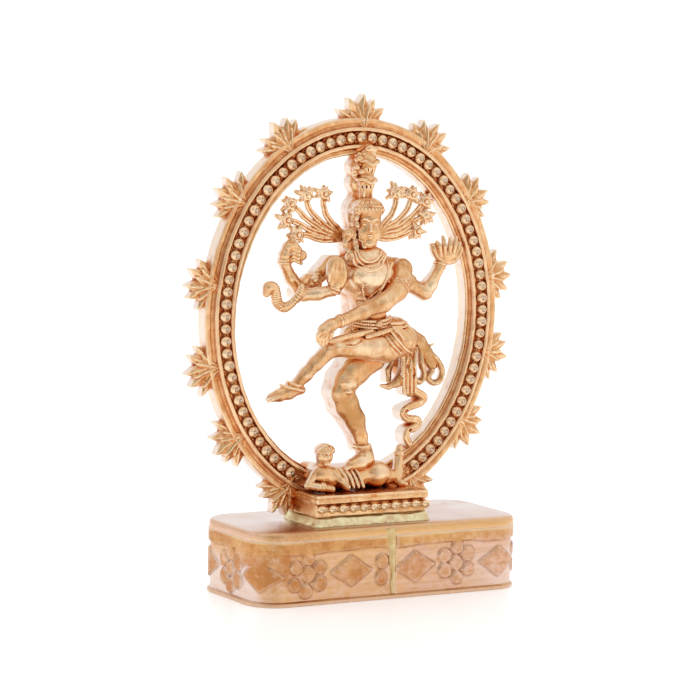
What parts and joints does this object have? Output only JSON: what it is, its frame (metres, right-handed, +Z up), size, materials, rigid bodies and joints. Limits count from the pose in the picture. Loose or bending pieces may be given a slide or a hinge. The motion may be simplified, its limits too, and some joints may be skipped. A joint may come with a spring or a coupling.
{
  "type": "nataraja statue",
  "caption": "Small cast metal dancing nataraja inside a beaded ring of flames, on a beaded plinth brazed to an embossed sheet-metal base.",
  "frame": {"origin": "centre of the base's resting face, where the base's two planes of symmetry cross", "axes": "+Z up, -Y is the front that the dancer faces, +X towards the viewer's right from the front"},
  "size_m": [0.0581, 0.0204, 0.0764],
  "materials": {
    "cast_metal": "polished rosy gold casting with brown in the hollows and fine brush marks",
    "base_sheet": "satin pinkish sheet with fine horizontal brush marks",
    "braze": "pale yellow-green brazing metal, smeared and filed"
  },
  "bodies": {
    "root": {"plinth_braze_fillet": "braze", "plinth_block": "cast_metal", "plinth_bead_row": "cast_metal", "arch_ring": "cast_metal", "arch_bead_strand": "cast_metal", "flame_01": "cast_metal", "flame_02": "cast_metal", "flame_03": "cast_metal", "flame_04": "cast_metal", "flame_05": "cast_metal", "flame_06": "cast_metal", "flame_07": "cast_metal", "flame_08": "cast_metal", "flame_09": "cast_metal", "flame_10": "cast_metal", "flame_11": "cast_metal", "flame_12": "cast_metal", "flame_13": "cast_metal", "crossing_arm": "cast_metal", "necklace": "cast_metal", "long_necklace": "cast_metal", "waist_belt": "cast_metal", "hip_cloth": "cast_metal", "snake": "cast_metal", "raised_leg": "cast_metal", "abhaya_arm": "cast_metal", "head": "cast_metal", "torso": "cast_metal", "crown": "cast_metal", "standing_leg": "cast_metal", "rear_right_arm": "cast_metal", "rear_left_arm": "cast_metal", "flame_hand": "cast_metal", "dwarf_head": "cast_metal", "dwarf_body": "cast_metal", "dwarf_legs": "cast_metal", "sash_drape": "cast_metal", "sash_scroll": "cast_metal", "sash_ribbon": "cast_metal", "hair_fan_right": "cast_metal", "hair_fan_left": "cast_metal", "base_bottom_plate": "base_sheet", "base_wall": "base_sheet", "base_seam_braze": "braze", "base_top_plate": "base_sheet"}
  },
  "joints": []
}
